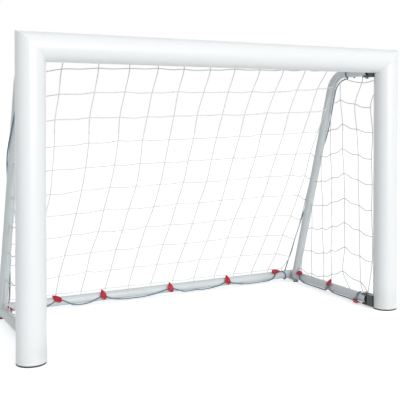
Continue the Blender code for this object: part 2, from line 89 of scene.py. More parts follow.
# Front frame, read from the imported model
POST_R = (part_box("left_post")[1].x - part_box("left_post")[0].x) / 2
POST_X = middle("right_post").x
FRONT_Y = middle("right_post").y
FOOT_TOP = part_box("left_post")[0].z
TOP_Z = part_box("crossbar")[1].z
BAR_Z = TOP_Z - POST_R
POST_WALL = 0.003
FOOT_PLUG = 0.03
MITRE_BEAD = 0.0004  # weld line left after grinding
CAP_ROUND = 0.003  # radius of the foot caps' lower rim
CAP_EDGE = 0.0006

# Sides and rear tube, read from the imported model
SIDE_X = middle("right_base_tube").x
HINGE_Y = joint_place("fold").y
REAR_PIN_Y = joint_place("rear_pivot").y
REAR_Y = middle("rear_ground_tube").y
TUBE_R = (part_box("rear_ground_tube")[1].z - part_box("rear_ground_tube")[0].z) / 2
BASE_Z = middle("rear_ground_tube").z
TUBE_WALL = 0.0025
STAY_TOP_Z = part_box("right_stay")[1].z - TUBE_R
STAY_START_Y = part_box("right_stay")[0].y
STAY_BEND_Y = FRONT_Y + 0.375
STAY_BEND_R = 0.13
STAY_FOOT_Z = BASE_Z + 0.006
GAP = 0.0003
FOOT_BEAD = 0.0019  # half the weld at the stay's foot, and how much it ripples
FOOT_RIPPLE = 0.0003
BEAD_OFF = (0.0006, 0.0012)  # middle of that weld off the stay and off the base tube

# Back net, as in the frame but for its edge, which is laced to the stays' backs
HEAD_Y = FRONT_Y + 0.069
HEAD_Z = BAR_Z + 0.032
BACK_CELLS = (13, 11)
BACK_SAG = 0.035
BACK_RISE = 0.025
ROW_EASE = 0.6  # below 1 the net rises most above its middle
EDGE_POWER = (5.5, 8.0)  # how late the net turns to its edge, at the left and at the right
EDGE_LAG = (0.17, 0.27)  # how far down the edge its rows are tied, at the left and at the right
EDGE_EASE = (0.02, 0.6)  # how soon down the edge that sets in
ROW_DRIFT = (0.027, -0.002)  # columns lean to the right by this, at the left and at the right
MID_DRIFT = 0.04  # and by this much more at the left, half way down
HEAD_DRIFT = 0.038  # or in the first row at the right
FOOT_PULL = 0.069  # right edge's foot, drawn in from the stay
RIGHT_SLIP = 0.026  # shares of the net's drop by which rows ride up at the right
LEFT_SLIP = 0.015  # and down at the left
EDGE_TURN = math.radians(100)  # net's edge round the stay, from its inner side upward
EDGE_OUT = TUBE_R + 0.002
NET_EDGE_X = SIDE_X - EDGE_OUT * math.cos(EDGE_TURN)
CORD_RISE = 0.016  # bottom cord above the rear tube, on short ties
NET_FOOT_Z = BASE_Z + TUBE_R + CORD_RISE
NET_CORNER_Z = BASE_Z + 0.0675

# Twine and knots of every net
LOW_STRAY = 0.12  # share of a mesh by which a row's low point strays from the middle
HANG_SHARES = (0.4, 1.3)  # least and most share of the slack that one mesh takes
KNOT_SHAPE = (0.8, 0.55, 0.75)  # shares of the knot's radius: between the strands, across them, outward

# Side nets. A column's places behind the front frame at its foot, middle and head heights, then how
# much higher its knots are than those of the highest column.
COLUMN_HEIGHTS = (0.1, 0.6, 1.08)
SIDE_COLUMNS = (
    (0.038, 0.043, 0.054, -0.042), (0.129, 0.152, 0.193, -0.025), (0.284, 0.276, 0.313, 0.0),
    (0.393, 0.396, 0.402, -0.035), (0.462, 0.487, 0.500, -0.058), (0.586, 0.585, 0.592, -0.066),
    (0.682, 0.664, 0.650, -0.055),
)
SIDE_ROWS = 8
SIDE_ROW_LOW = 0.142
SIDE_ROW_STEP = 0.1325
SIDE_TOP_KNOT = (0.130, 1.155)  # where the second column and the top row meet
SIDE_TOP_HOLD = 0.125  # where that column is tied to the stay
POST_TIES = (1.090, 1.163)  # heights at which the first column and the top row reach the post
FOOT_TIES = (0.075, 0.110, 0.223, 0.401, 0.468, 0.588, 0.684)  # places of the columns' ties on the tube
POST_TIE_Y = 0.036  # where the net's plane meets the post's back
KNOT_CLEAR = 0.012  # least room from a knot to the stay
KNOT_STRAY = (1, 1, 0.6)  # shares of the net's wave by axis
ROW_END_STRAY = (-0.012, 0.006)  # how far off its last knot's height a row is tied to the stay
LOW_LOOP = Vector((0, -0.032, -0.018))  # from the lowest front knot to its loop by the post
LOW_TIE_RISE = 0.012
HEAD_STEP = 0.004  # steps in which a column's head looks for the stay

# Lacing and clips, as in the frame; the side tube's rope is drawn tighter and the stay's goes round it
ROPE_R = 0.0035
LACE_OUT = TUBE_R + 0.0011 + ROPE_R
LACE_SNUG = 0.3  # share of the stand-off that is left in the drawn rope
CLIP_WIRE = 0.0038
CLIP_OUT = LACE_OUT + ROPE_R + 0.0001 + CLIP_WIRE
CLIP_HALF_LONG = 0.0281
CLIP_HALF_WIDE = 0.0152
CLIP_TAPER = 0.42
CLIP_EYE = (-0.0105, 0.0034, 0.0038)  # place along the clip, half width, half length
CLIP_PROFILE = ((0.0, 0.6), (0.12, 0.92), (0.5, 1.0), (0.84, 0.78), (0.96, 0.4))  # share outward, thickness
REAR_CLIPS = ((-0.574, 38, -50), (-0.331, 26, -10), (0.05, 20, -8), (0.403, 26, -6), (0.731, 54, 84))
SIDE_CLIPS = ((0.588, 52, 88), (0.298, 58, -28), (0.052, -42, 80))
REAR_ROUTE = (
    (-0.775, 8, 0), (-0.72, -30, 0), (-0.66, -62, 0.004), (-0.60, -4, 0), (-0.566, 26, 0),
    (-0.53, 4, 0), (-0.48, -56, 0.003), (-0.43, -70, 0.005), (-0.38, -30, 0.001), (-0.331, 12, 0),
    (-0.27, -38, 0), (-0.20, -66, 0.004), (-0.12, -72, 0.005), (-0.04, -40, 0.001), (0.05, 8, 0),
    (0.10, -24, 0), (0.15, -64, 0.004), (0.21, -56, 0.003), (0.27, -68, 0.005), (0.35, -34, 0),
    (0.403, 12, 0), (0.45, -26, 0), (0.53, -62, 0.004), (0.61, -66, 0.004), (0.68, -52, 0.002),
    (0.712, -16, 0), (0.735, 45, 0), (0.772, 60, 0), (0.788, 40, 0), (0.796, -10, 0), (0.802, -70, 0),
    (0.806, -110, 0),
)
SIDE_ROUTE = (
    (0.0395, 140, 0), (0.0405, 96, 0), (0.042, 50, 0), (0.045, 0, 0), (0.052, -42, 0),
    (0.09, -64, 0), (0.15, -80, 0.002), (0.22, -76, 0.002), (0.26, -62, 0), (0.286, -10, 0),
    (0.298, 42, 0), (0.313, -10, 0), (0.34, -60, 0), (0.41, -80, 0.002), (0.48, -74, 0.002),
    (0.54, -66, 0), (0.574, -14, 0), (0.588, 45, 0), (0.616, 46, 0),
)
CLIP_TAILS = (
    ((0.056, -52, 0.005), (0.072, -64, 0.005), (0.088, -74, 0.006), (0.098, -80, 0.008)),
    ((0.058, -34, 0.006), (0.046, -44, 0.008), (0.036, -54, 0.009), (0.026, -60, 0.008)),
)
STAY_ROUTE = (
    (0.0, 50, 0.042), (0.10, 48, 0.024), (0.18, 44, 0.011), (0.24, 58, 0.002), (0.29, 90, 0),
    (0.38, 106, 0), (0.47, 130, 0), (0.55, 180, 0), (0.60, 208, 0), (0.65, 234, 0.002),
    (0.70, 252, 0.005), (0.75, 262, 0.009), (0.80, 268, 0.012), (0.85, 270, 0.008), (0.885, 272, 0.001),
    (0.892, 320, 0), (0.897, 400, 0), (0.902, 490, 0), (0.908, 590, 0),
)
STAY_AHEAD = 0.01  # share of the stay's length over which its direction is taken
ROPE_KNOT = 0.0072  # half a rope knot's length
ROPE_KNOT_SLIM = 0.8
ROPE_POINTS = 9  # along one turn of the rope's strands

SIDES = ((-1, "left"), (1, "right"))

# Camera, fitted to the photograph's tube edges
CAMERA_PLACE = Vector((-1.6859, FRONT_Y - 3.0997, 1.0004))
CAMERA_YAW = 0.5136
CAMERA_PITCH = -0.0169
CAMERA_ROLL = 0.0013
FOCAL_PX = 779.44
CENTRE_PX = (242.33, 125.49)
IMAGE_PX = 400
SENSOR_MM = 36.0

# Soft lamps: the direction each shines from, and how wide it looks in degrees
KEY_LAMP = ((0.03, -1.0, 0.16), 40)
TOP_LAMP = ((0.1, -0.6, 1.0), 90)
FLOOR_HALF = 30.0


class GoalFinishes(bpy.types.PropertyGroup):
    """Colours of the goal's finishes."""

    front_white: FloatVectorProperty(
        name="Front coat", description="Powder coat of posts and crossbar", subtype="COLOR",
        default=(0.86, 0.875, 0.88), min=0, max=1)
    side_white: FloatVectorProperty(
        name="Side coat", description="Powder coat of stays and ground tubes", subtype="COLOR",
        default=(0.67, 0.715, 0.725), min=0, max=1)
    black: FloatVectorProperty(
        name="Black parts", description="Caps, plugs and brackets", subtype="COLOR",
        default=(0.022, 0.024, 0.026), min=0, max=1)
    twine: FloatVectorProperty(
        name="Twine", description="Net twine", subtype="COLOR", default=(0.34, 0.337, 0.334), min=0, max=1)
    rope: FloatVectorProperty(
        name="Lacing", description="Lacing rope", subtype="COLOR", default=(0.06, 0.125, 0.185), min=0, max=1)
    clip: FloatVectorProperty(
        name="Clips", description="Net clips", subtype="COLOR", default=(0.44, 0.003, 0.02), min=0, max=1)
    zinc: FloatVectorProperty(
        name="Zinc", description="Bolts and nuts", subtype="COLOR", default=(0.5, 0.51, 0.52), min=0, max=1)


class GoalSizes(bpy.types.PropertyGroup):
    """Sizes of what is dressed over the frame."""

    twine_radius: FloatProperty(
        name="Twine radius", description="Half the net twine's thickness", unit="LENGTH", default=0.0022)
    knot_radius: FloatProperty(
        name="Knot radius", description="Half a net knot's width", unit="LENGTH", default=0.0036)
    net_wave: FloatProperty(
        name="Net wave", description="How far the knots stray from a plain grid", unit="LENGTH",
        default=0.004)
    back_slack: FloatProperty(
        name="Back net slack", description="How far the back net's rows hang between knots", unit="LENGTH",
        default=0.004)
    side_slack: FloatProperty(
        name="Side net slack", description="How far the side nets' rows hang between knots", unit="LENGTH",
        default=0.009)
    rope_pitch: FloatProperty(
        name="Rope lay", description="Length of one turn of the rope's strands", unit="LENGTH",
        default=0.026)
    tube_sides: IntProperty(name="Tube facets", description="Facets round a tube", default=64, min=16)


class GoalStage(bpy.types.PropertyGroup):
    """Light of the plain studio."""

    sky: FloatProperty(name="Soft light", description="Even light from all round", default=0.42)
    key: FloatProperty(name="Key light", description="Soft light from the front", default=1.88)
    fill: FloatProperty(name="Top light", description="Soft light from above", default=0.5)
    floor_glow: FloatProperty(
        name="Floor white", description="Extra white of the floor for the camera", default=0.52)


def catmull(rows, steps):
    """Rows on a smooth curve through the given ones."""
    given = [Vector(row) for row in rows]
    padded = [2 * given[0] - given[1], *given, 2 * given[-1] - given[-2]]
    fine = []
    for k in range(1, len(padded) - 2):
        a, b, c, d = padded[k - 1 : k + 3]
        for step in range(steps):
            t = step / steps
            bend = 2 * a - 5 * b + 4 * c - d + (3 * (b - c) + d - a) * t
            fine.append(b + (c - a + bend * t) * (t / 2))
    return fine + [given[-1]]


def reaches(points):
    """How far along its line each point lies."""
    made = [0.0]
    for a, b in zip(points, points[1:]):
        made.append(made[-1] + (b - a).length)
    return made


def evenly(points, spacing):
    """The same line with points about this far apart."""
    reach = reaches(points)
    count = max(2, round(reach[-1] / spacing))
    made = []
    place = 0
    for k in range(count + 1):
        wanted = reach[-1] * k / count
        while place < len(points) - 2 and reach[place + 1] < wanted:
            place += 1
        span = max(reach[place + 1] - reach[place], 1e-9)
        made.append(points[place].lerp(points[place + 1], (wanted - reach[place]) / span))
    return made


def at_share(path, share):
    """The point at this share of a path's length."""
    lengths = [(b - a).length for a, b in zip(path, path[1:])]
    left = share * sum(lengths)
    for (a, b), length in zip(zip(path, path[1:]), lengths):
        if left <= length:
            return a.lerp(b, left / length)
        left -= length
    return path[-1].copy()


class Skin:
    """Collects faces for one mesh, with texture coordinates that run round and along."""

    def __init__(self):
        self.shape = bmesh.new()
        self.uv = self.shape.loops.layers.uv.new("UVMap")

    def loft(self, rings, ring_shaped=False, along=None):
        """Faces from ring to ring, closed on the first one or else capped."""
        loops = [[self.shape.verts.new(point) for point in ring] for ring in rings]
        count = len(loops[0])
        reach = along or reaches([ring[0] for ring in rings])
        pairs = list(range(len(loops) - 1))
        if ring_shaped:
            pairs.append(len(loops) - 1)
        else:
            self.shape.faces.new(loops[0][::-1])
            self.shape.faces.new(loops[-1])
        for index in pairs:
            first, second = loops[index], loops[(index + 1) % len(loops)]
            low, high = reach[index], reach[(index + 1) % len(loops)]
            for k in range(count):
                after = (k + 1) % count
                face = self.shape.faces.new((first[k], first[after], second[after], second[k]))
                for loop, place in zip(face.loops, ((k, low), (k + 1, low), (k + 1, high), (k, high))):
                    loop[self.uv].uv = (place[0] / count, place[1])

    def blob(self, centre, axes, steps=8):
        """An ellipsoid with these three half axes."""
        rings = []
        for k in range(1, steps // 2):
            lift = math.pi * k / (steps // 2)
            middle_point = centre + axes[2] * math.cos(lift)
            rings.append([
                middle_point
                + (axes[0] * math.cos(2 * math.pi * j / steps) + axes[1] * math.sin(2 * math.pi * j / steps))
                * math.sin(lift)
                for j in range(steps)
            ])
        self.loft(rings)

    def piece(self, name, coat, body, slot, *nodes, smooth=35):
        """The faces as an object with this finish, on its body in place of the frame's plain nodes."""
        bmesh.ops.recalc_face_normals(self.shape, faces=self.shape.faces[:])
        mesh = bpy.data.meshes.new(name)
        self.shape.to_mesh(mesh)
        self.shape.free()
        mesh.shade_smooth()
        mesh.set_sharp_from_angle(angle=math.radians(smooth))
        mesh.materials.append(finish(coat))
        made = placed(name, mesh)
        dress(made, body, slot, *nodes)
        return made


def circle(centre, along, side, radius, sides, plane=None):
    """A ring round the line along, cut by the plane whose normal is given."""
    along = Vector(along).normalized()
    side = Vector(side).normalized()
    other = along.cross(side)
    plane = Vector(plane) if plane else along
    ring = []
    for k in range(sides):
        turn = 2 * math.pi * k / sides
        out = side * (radius * math.cos(turn)) + other * (radius * math.sin(turn))
        ring.append(Vector(centre) + out - along * (out.dot(plane) / along.dot(plane)))
    return ring


def path_rings(path, side, radius, sides, planes=(None, None)):
    """Rings along a path, mitred where it bends and cut at its ends by the given planes."""
    rings = []
    last = len(path) - 1
    for k, point in enumerate(path):
        before = (point - path[max(k - 1, 0)]).normalized()
        after = (path[min(k + 1, last)] - point).normalized()
        plane = {0: planes[0], last: planes[1]}.get(k, before + after)
        rings.append(circle(point, before if k else after, side, radius, sides, plane))
    return rings


def tube_skin(path, side, radius, wall, sides, planes=(None, None), lip=0.0006):
    """A hollow tube with softened rims."""
    skin = Skin()
    outer = path_rings(path, side, radius, sides, planes)
    inner = path_rings(path, side, radius - wall, sides, planes)
    if planes == (None, None):
        start = (path[1] - path[0]).normalized() * lip
        end = (path[-2] - path[-1]).normalized() * lip
        outer[0] = [point + start for point in outer[0]]
        outer[-1] = [point + end for point in outer[-1]]
        mid = path_rings(path, side, radius - lip, sides)
        outer = [mid[0], *outer, mid[-1]]
    skin.loft(outer + inner[::-1], ring_shaped=True)
    return skin


def frames_along(points):
    """A side and an up vector at each point, turning as little as the line allows."""
    heading = (points[1] - points[0]).normalized()
    side = heading.orthogonal().normalized()
    made = []
    for k, point in enumerate(points):
        ahead = points[min(k + 1, len(points) - 1)] - points[max(k - 1, 0)]
        ahead.normalize()
        side = (side - ahead * side.dot(ahead)).normalized()
        made.append((side.copy(), ahead.cross(side)))
    return made


def strand(skin, points, radius, sides=6):
    """A plain twine through the points."""
    turns = [2 * math.pi * k / sides for k in range(sides)]
    rings = []
    for point, (side, up) in zip(points, frames_along(points)):
        rings.append([point + (side * math.cos(turn) + up * math.sin(turn)) * radius for turn in turns])
    skin.loft(rings)


def laid_rope(skin, points, radius, pitch, lobes=3, sides=12, depth=0.16):
    """A rope whose strands turn round it once every pitch."""
    rings = []
    alongs = reaches(points)
    for point, reach, (side, up) in zip(points, alongs, frames_along(points)):
        lay = 2 * math.pi * reach / pitch
        ring = []
        for j in range(sides):
            turn = 2 * math.pi * j / sides
            out = radius * (1 - depth / 2 + depth / 2 * math.cos(lobes * turn))
            ring.append(point + (side * math.cos(turn + lay) + up * math.sin(turn + lay)) * out)
        rings.append(ring)
    skin.loft(rings, along=alongs)


def bead(seam, radius, sides, outward):
    """A weld bead round a closed seam, its radius and its outward side given by functions."""
    rings = []
    for k, point in enumerate(seam):
        ahead = seam[(k + 1) % len(seam)] - seam[k - 1]
        rings.append(circle(point, ahead, outward(point, ahead), radius(k), sides))
    skin = Skin()
    skin.loft(rings, ring_shaped=True)
    return skin


def placed(name, data):
    """A new object in the scene that shows the data."""
    made = bpy.data.objects.new(name, data)
    bpy.context.scene.collection.objects.link(made)
    return made


def recoat(name, coat, soft=None):
    """Gives a node of the frame its finish and, with soft, bevels of that width."""
    node = frame["nodes"][name]
    node.data.materials.clear()
    node.data.materials.append(finish(coat))
    if soft:
        soften = node.modifiers.new("soft edges", "BEVEL")
        soften.width = soft
        soften.segments = 2
        soften.limit_method = "ANGLE"
        soften.angle_limit = math.radians(40)
        soften.harden_normals = True


def dress(obj, body, slot, *nodes):
    """Sets the piece on its body in place of the frame's plain nodes."""
    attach(obj, body)
    if nodes:
        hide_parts(*nodes)


def socket_group(name, inputs, outputs):
    """An empty shader group: inputs by name with a default, outputs by name with a kind."""
    group = bpy.data.node_groups.new(name, "ShaderNodeTree")
    for label, default in inputs.items():
        kind = "Vector" if default is None else "Float" if isinstance(default, float) else "Color"
        socket = group.interface.new_socket(name=label, in_out="INPUT", socket_type=f"NodeSocket{kind}")
        if default is not None:
            socket.default_value = default
    for label, kind in outputs.items():
        group.interface.new_socket(name=label, in_out="OUTPUT", socket_type=f"NodeSocket{kind}")
    return group, group.nodes.new("NodeGroupInput").outputs, group.nodes.new("NodeGroupOutput")


def fill(tree, node, sockets):
    """Links or sets the node's input sockets, by name or number."""
    for key, value in sockets.items():
        if isinstance(value, bpy.types.NodeSocket):
            tree.links.new(value, node.inputs[key])
        else:
            node.inputs[key].default_value = value
    return node


def add_node(tree, kind, sockets=None, **values):
    """A node with its own values set and its sockets filled."""
    node = tree.nodes.new(kind)
    for key, value in values.items():
        setattr(node, key, value)
    return fill(tree, node, sockets or {})


def mixed(tree, factor, first, second):
    """Colour mix of two sockets or colours."""
    return add_node(tree, "ShaderNodeMix", {0: factor, 6: first, 7: second}, data_type="RGBA").outputs[2]


def maths(tree, operation, *values):
    return add_node(tree, "ShaderNodeMath", dict(enumerate(values)), operation=operation).outputs[0]


def noise(tree, vector, scale, detail, **more):
    sockets = {"Vector": vector, "Scale": scale, "Detail": detail, **more}
    return add_node(tree, "ShaderNodeTexNoise", sockets).outputs["Fac"]


def ranged(tree, value, low, high, to_low, to_high):
    """The value moved from one span to another."""
    node = add_node(tree, "ShaderNodeMapRange", {"Value": value, "From Min": low, "From Max": high,
                                                  "To Min": to_low, "To Max": to_high})
    return node.outputs["Result"]


def coat_group():
    """Powder coat: fine orange peel, faint scuffs and dust that thins out above the ground."""
    group, given, out = socket_group(
        "coat_surface",
        {"Vector": None, "Colour": (0.8, 0.8, 0.8, 1), "Dust Colour": (0.46, 0.45, 0.43, 1),
         "Peel Scale": 700.0, "Scuffs": 0.25, "Dust Height": 0.14, "Roughness": 0.25},
        {"Colour": "Color", "Roughness": "Float", "Height": "Float"})
    peel = noise(group, given["Vector"], given["Peel Scale"], 2.0, Roughness=0.4)
    broad = noise(group, given["Vector"], 7.0, 5.0)
    stretch = add_node(group, "ShaderNodeMapping", {"Vector": given["Vector"], "Scale": (9.0, 9.0, 60.0)})
    fine = noise(group, stretch.outputs[0], 5.0, 8.0, Roughness=0.7)
    scuff = maths(group, "MULTIPLY", ranged(group, fine, 0.62, 0.72, 0.0, 1.0), given["Scuffs"])
    split = add_node(group, "ShaderNodeSeparateXYZ", {"Vector": given["Vector"]})
    height = maths(group, "DIVIDE", split.outputs["Z"], given["Dust Height"])
    low = ranged(group, height, 0.0, 1.0, 0.35, 0.0)
    dust = maths(group, "MULTIPLY", low, ranged(group, broad, 0.35, 0.7, 0.2, 1.0))
    dusty = mixed(group, dust, given["Colour"], given["Dust Colour"])
    rough = maths(group, "MULTIPLY_ADD", scuff, 0.3, given["Roughness"])
    fill(group, out, {"Colour": mixed(group, scuff, dusty, given["Dust Colour"]),
                      "Roughness": maths(group, "MULTIPLY_ADD", dust, 0.5, rough), "Height": peel})
    return group


def fibre_group():
    """Twisted fibres: slanting yarns by the texture coordinates, with painted shade in the grooves between
    them, flecks and a little soiling.
    """
    group, given, out = socket_group(
        "fibre_surface",
        {"UV": None, "Vector": None, "Colour": (0.8, 0.8, 0.8, 1), "Dark Colour": (0.2, 0.2, 0.2, 1),
         "Pitch": 0.02, "Yarns": 3.0},
        {"Colour": "Color", "Height": "Float"})
    split = add_node(group, "ShaderNodeSeparateXYZ", {"Vector": given["UV"]})
    turns = maths(group, "DIVIDE", split.outputs["Y"], given["Pitch"])
    around = maths(group, "ADD", split.outputs["X"], turns)
    phase = maths(group, "MULTIPLY", around, given["Yarns"])
    wave = maths(group, "SINE", maths(group, "MULTIPLY", phase, 2 * math.pi))
    ridge = ranged(group, wave, -1.0, 1.0, 0.0, 1.0)
    fleck = noise(group, given["Vector"], 900.0, 3.0)
    soil = noise(group, given["Vector"], 18.0, 3.0)
    made = given["Colour"]
    # The first mask paints shade into the grooves between the yarns; the other two are flecks and soiling,
    # all towards the dark colour.
    for dark in (ranged(group, ridge, 0.0, 0.55, 0.75, 0.0), ranged(group, fleck, 0.45, 0.75, 0.0, 0.35),
                 ranged(group, soil, 0.5, 0.8, 0.0, 0.3)):
        made = mixed(group, dark, made, given["Dark Colour"])
    fill(group, out, {"Colour": made, "Height": maths(group, "MULTIPLY_ADD", fleck, 0.4, ridge)})
    return group


def moulded_group():
    """Moulded or plated surface: fine grain and handled, lighter patches."""
    group, given, out = socket_group(
        "moulded_surface",
        {"Vector": None, "Colour": (0.1, 0.1, 0.1, 1), "Worn Colour": (0.3, 0.3, 0.3, 1),
         "Grain Scale": 1200.0, "Wear": 0.3, "Roughness": 0.4},
        {"Colour": "Color", "Roughness": "Float", "Height": "Float"})
    grain = noise(group, given["Vector"], given["Grain Scale"], 2.0)
    cloud = noise(group, given["Vector"], 45.0, 6.0, Roughness=0.65)
    wear = maths(group, "MULTIPLY", ranged(group, cloud, 0.5, 0.75, 0.0, 1.0), given["Wear"])
    fill(group, out, {"Colour": mixed(group, wear, given["Colour"], given["Worn Colour"]),
                      "Roughness": maths(group, "MULTIPLY_ADD", wear, 0.35, given["Roughness"]),
                      "Height": grain})
    return group


def shader_of(name):
    """A new material, its tree and its shader."""
    made = bpy.data.materials.new(name)
    made.use_nodes = True
    return made, made.node_tree, made.node_tree.nodes["Principled BSDF"]


def surfaced(name, group, values, strength, distance):
    """A material coloured and bumped by a surface group: its tree, shader, group and coordinates."""
    _, tree, shader = shader_of(name)
    place = add_node(tree, "ShaderNodeTexCoord").outputs
    surface = add_node(tree, "ShaderNodeGroup", node_tree=group)
    fill(tree, surface, {"Vector": place["Object"], **values})
    bump = add_node(tree, "ShaderNodeBump", {"Height": surface.outputs["Height"], "Strength": strength,
                                             "Distance": distance})
    fill(tree, shader, {"Base Color": surface.outputs["Colour"], "Normal": bump.outputs[0]})
    return tree, shader, surface, place


def surface_material(name, group, values, bump, metallic=0.0, coat=0.0, specular=0.5):
    """A coated, moulded or plated finish."""
    tree, shader, surface, _ = surfaced(name, group, values, *bump)
    fill(tree, shader, {"Roughness": surface.outputs["Roughness"], "Metallic": metallic, "Coat Weight": coat,
                        "Coat Roughness": 0.08, "Specular IOR Level": specular})


def fibre_material(name, colour, dark, pitch, yarns):
    """Twisted yarns, with painted shade in their grooves."""
    values = {"Colour": (*colour, 1), "Dark Colour": (*dark, 1), "Pitch": pitch, "Yarns": yarns}
    tree, shader, surface, place = surfaced(name, bpy.data.node_groups["fibre_surface"], values, 0.5, 0.0006)
    fill(tree, surface, {"UV": place["UV"]})
    fill(tree, shader, {"Roughness": 0.82, "Sheen Weight": 0.25, "Sheen Roughness": 0.5})


def finish(name):
    return bpy.data.materials[name]


def shaded(colour, share):
    return tuple(part * share for part in colour)


def stay_path(side_x):
    """The stay's centre line, from its front end over the bend to its foot."""
    corner = Vector((side_x, STAY_BEND_Y, STAY_TOP_Z))
    start = Vector((side_x, STAY_START_Y, STAY_TOP_Z))
    foot = Vector((side_x, REAR_PIN_Y, STAY_FOOT_Z))
    level = (corner - start).normalized()
    slope = (foot - corner).normalized()
    turn = level.angle(slope)
    first = corner - level * (STAY_BEND_R * math.tan(turn / 2))
    centre = first + Vector((0, 0, -STAY_BEND_R))
    steps = 20
    bend = [centre + Vector((0, math.sin(turn * k / steps), math.cos(turn * k / steps))) * STAY_BEND_R
            for k in range(steps + 1)]
    return [start, *bend, foot]


def tube_point(along, degrees, distance, side_x=None):
    """A point round the rear tube or, with side_x, round that side's base tube."""
    turn = math.radians(degrees)
    inward = distance * math.cos(turn)
    z = BASE_Z + distance * math.sin(turn)
    if side_x is None:
        return Vector((along, REAR_Y - inward, z))
    return Vector((side_x - math.copysign(inward, side_x), HINGE_Y + along, z))


class GOAL_OT_materials(bpy.types.Operator):
    """Make the goal's finishes"""

    bl_idname = "goal.materials"
    bl_label = "Finishes"

    def execute(self, context):
        colours = context.scene.goal_finishes
        coat, moulded = coat_group(), moulded_group()
        fibre_group()
        surface_material("front_coat", coat, {"Colour": (*colours.front_white, 1), "Roughness": 0.3},
                         (0.12, 0.0002), coat=0.12)
        surface_material("side_coat", coat,
                         {"Colour": (*colours.side_white, 1), "Roughness": 0.32, "Scuffs": 0.4,
                          "Dust Height": 0.09}, (0.15, 0.0002), coat=0.1)
        surface_material("black_plastic", moulded,
                         {"Colour": (*colours.black, 1), "Worn Colour": (0.09, 0.09, 0.095, 1),
                          "Roughness": 0.42}, (0.3, 0.0003))
        surface_material("black_steel", moulded,
                         {"Colour": (*colours.black, 1), "Worn Colour": (0.16, 0.155, 0.15, 1), "Wear": 0.45,
                          "Roughness": 0.35}, (0.2, 0.0003), coat=0.2)
        surface_material("zinc_plate", moulded,
                         {"Colour": (*colours.zinc, 1), "Worn Colour": (0.34, 0.33, 0.3, 1), "Wear": 0.6,
                          "Roughness": 0.3, "Grain Scale": 2000.0}, (0.2, 0.0002), metallic=0.9)
        surface_material("red_plastic", moulded,
                         {"Colour": (*colours.clip, 1), "Worn Colour": (0.55, 0.05, 0.07, 1), "Wear": 0.12,
                          "Roughness": 0.28}, (0.15, 0.0003), coat=0.15, specular=0.3)
        surface_material("white_plastic", moulded,
                         {"Colour": (0.8, 0.8, 0.79, 1), "Worn Colour": (0.6, 0.59, 0.56, 1), "Wear": 0.3,
                          "Roughness": 0.4}, (0.15, 0.0003))
        # The darker copies of the twine's and rope's colours are painted shade in the yarns' grooves, and
        # also the colour of their flecks and soiling.
        fibre_material("net_twine", colours.twine, shaded(colours.twine, 0.62), 0.009, 3.0)
        fibre_material("lacing_rope", colours.rope, shaded(colours.rope, 0.35),
                       context.scene.goal_sizes.rope_pitch, 6.0)
        return {"FINISHED"}


class GOAL_OT_front_frame(bpy.types.Operator):
    """Make the mitred front frame and its foot caps"""

    bl_idname = "goal.front_frame"
    bl_label = "Front frame"

    def execute(self, context):
        sides = 2 * context.scene.goal_sizes.tube_sides
        corners = {side: Vector((side * POST_X, FRONT_Y, BAR_Z)) for side, _ in SIDES}
        for side, name in SIDES:
            foot = Vector((side * POST_X, FRONT_Y, FOOT_TOP))
            top = corners[side] - Vector((0, 0, GAP * math.sqrt(2)))
            post = tube_skin([foot, top], (1, 0, 0), POST_R, POST_WALL, sides, (None, (-side, 0, 1)))
            post.piece(f"{name}_post_coat", "front_coat", "goal_frame", "front_white", f"{name}_post")
            self.foot_cap(side, name, sides)
            self.weld(side, name, corners[side], sides)
        bar = tube_skin([corners[-1], corners[1]], (0, 1, 0), POST_R, POST_WALL, sides,
                        ((1, 0, 1), (-1, 0, 1)))
        bar.piece("crossbar_coat", "front_coat", "goal_frame", "front_white", "crossbar")
        return {"FINISHED"}

    def foot_cap(self, side, name, sides):
        """A black cap with a rolled lower rim."""
        inner = POST_R - POST_WALL - GAP
        rim = FOOT_TOP - GAP
        profile = [(0, POST_R - CAP_ROUND)]
        for k in range(1, 6):
            turn = math.pi / 2 * k / 5
            profile.append((CAP_ROUND - CAP_ROUND * math.cos(turn),
                            POST_R - CAP_ROUND + CAP_ROUND * math.sin(turn)))
        profile += [(rim - CAP_EDGE, POST_R), (rim, POST_R - CAP_EDGE), (rim, inner), (FOOT_PLUG, inner)]
        skin = Skin()
        skin.loft([circle((side * POST_X, FRONT_Y, z), (0, 0, 1), (1, 0, 0), r, sides) for z, r in profile])
        skin.piece(f"{name}_cap", "black_plastic", "goal_frame", "black_plastic", f"{name}_foot_cap")

    def weld(self, side, name, corner, sides):
        """A thin, ground weld line round the mitre."""
        seam = circle(corner, (0, 0, 1), (1, 0, 0), POST_R, sides, (-side, 0, 1))
        line = bead(seam, lambda k: MITRE_BEAD, 6, lambda point, ahead: (point - corner).cross(ahead))
        line.piece(f"{name}_mitre_weld", "front_coat", "goal_frame", "front_white")


class GOAL_OT_hinges(bpy.types.Operator):
    """Give the brackets behind the posts and their bolts and nuts their finishes and softened edges"""

    bl_idname = "goal.hinges"
    bl_label = "Hinges"

    def execute(self, context):
        for _, name in SIDES:
            for level in ("upper", "lower"):
                recoat(f"{name}_{level}_bracket", "black_steel", 0.0012)
                for part in ("bolt", "nut"):
                    recoat(f"{name}_{level}_{part}", "zinc_plate", 0.0006)
        return {"FINISHED"}


